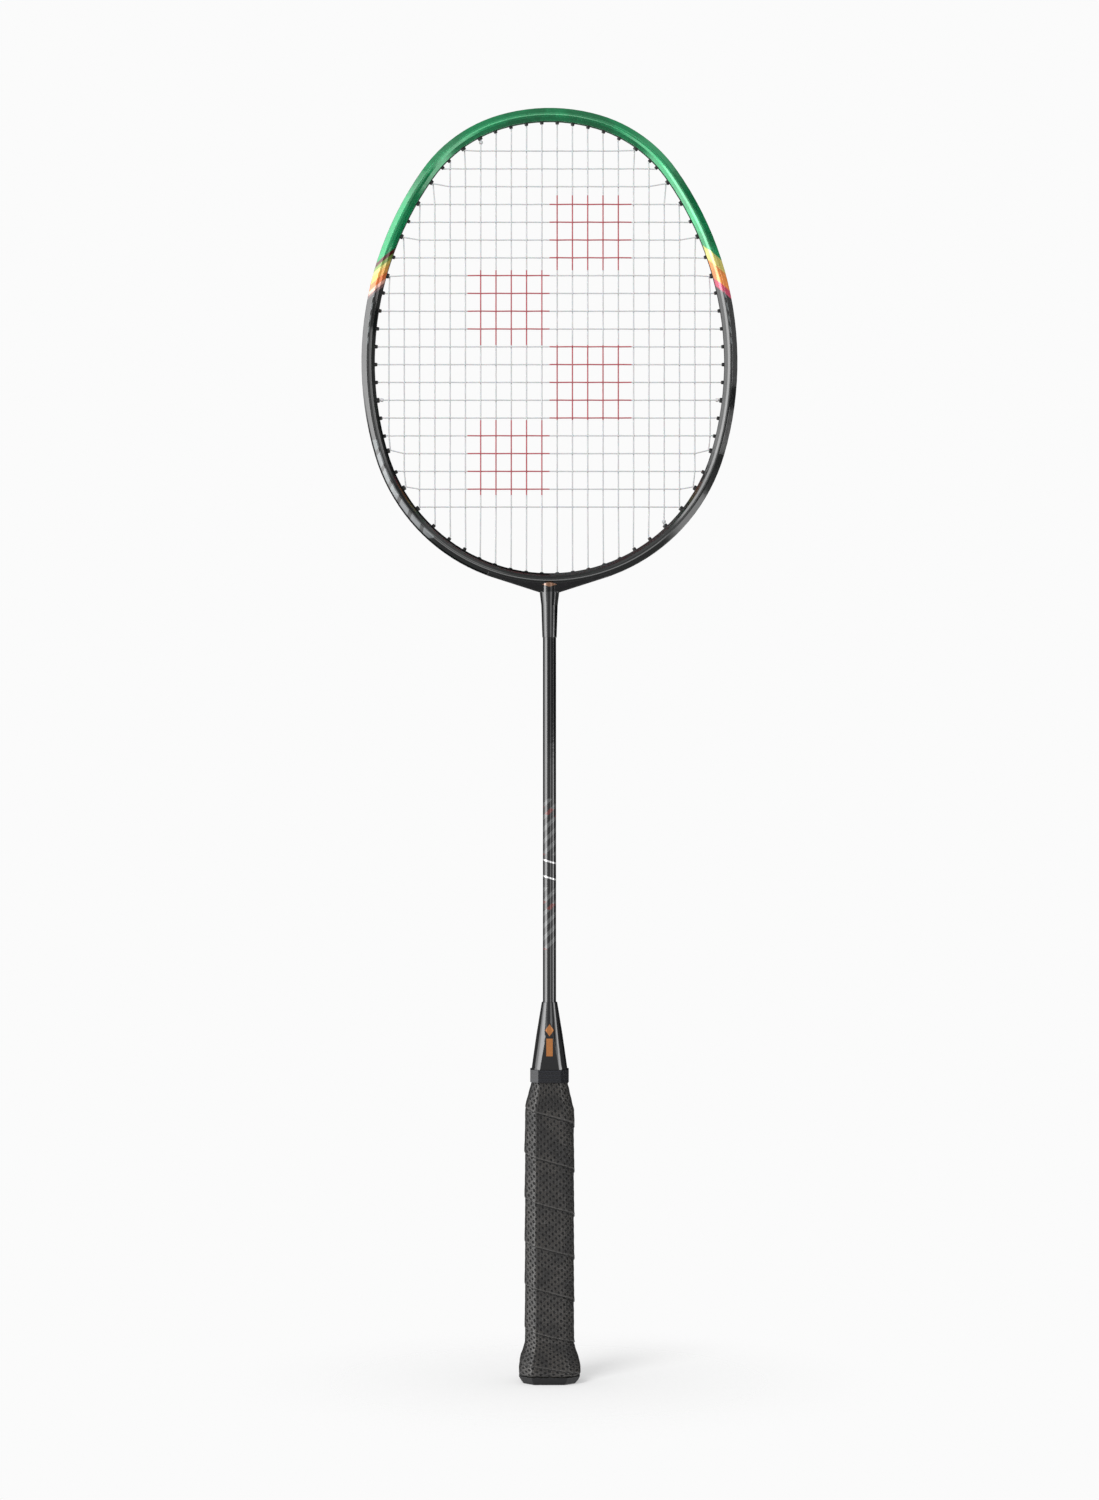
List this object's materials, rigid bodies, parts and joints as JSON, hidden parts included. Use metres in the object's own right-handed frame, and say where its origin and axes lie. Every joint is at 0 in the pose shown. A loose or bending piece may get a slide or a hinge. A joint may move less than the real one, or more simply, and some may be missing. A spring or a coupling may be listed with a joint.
{
  "type": "badminton racket",
  "caption": "Strung badminton racket: a hollow grooved head with woven strings, a slim tube shaft, a cone cap and a wrapped octagonal handle.",
  "frame": {"origin": "middle of the flat end of the butt, on the plane that the racket stands on", "axes": "+Z along the shaft from the butt to the crown of the head, X across the head in the plane of the strings, Y square to the string face"},
  "size_m": [0.1992, 0.0304, 0.675],
  "materials": {
    "frame_lacquer": "clear-coated carbon fibre, green crown fading through orange into black",
    "throat_lacquer": "satin black lacquer over moulded carbon fibre",
    "tee_alloy": "plain moulded and machined insert",
    "shaft_lacquer": "gloss black lacquer over a wound carbon tube",
    "cone_plastic": "gloss black moulded plastic",
    "handle_wood": "bare hardwood with a straight grain",
    "butt_plastic": "matt black moulded plastic",
    "tape_film": "double-sided adhesive tape",
    "grip_leatherette": "perforated black polyurethane grip tape, slightly tacky",
    "band_film": "glossy black vinyl tape",
    "string_nylon": "braided white nylon string with stencil ink",
    "grommet_nylon": "black moulded nylon"
  },
  "bodies": {
    "root": {"head_frame": "frame_lacquer", "throat_shell": "throat_lacquer", "tee_joint": "tee_alloy", "shaft": "shaft_lacquer", "cone_cap": "cone_plastic", "handle_core": "handle_wood", "butt_cap": "butt_plastic", "under_tape": "tape_film", "grip_tape": "grip_leatherette", "finishing_band": "band_film", "main_string": "string_nylon", "cross_string": "string_nylon", "string_knots": "string_nylon", "grommets_crown": "grommet_nylon", "grommets_shoulder_left": "grommet_nylon", "grommets_shoulder_right": "grommet_nylon", "grommets_side_left": "grommet_nylon", "grommets_side_right": "grommet_nylon", "grommets_lower_left": "grommet_nylon", "grommets_lower_right": "grommet_nylon", "grommets_throat": "grommet_nylon"}
  },
  "joints": []
}
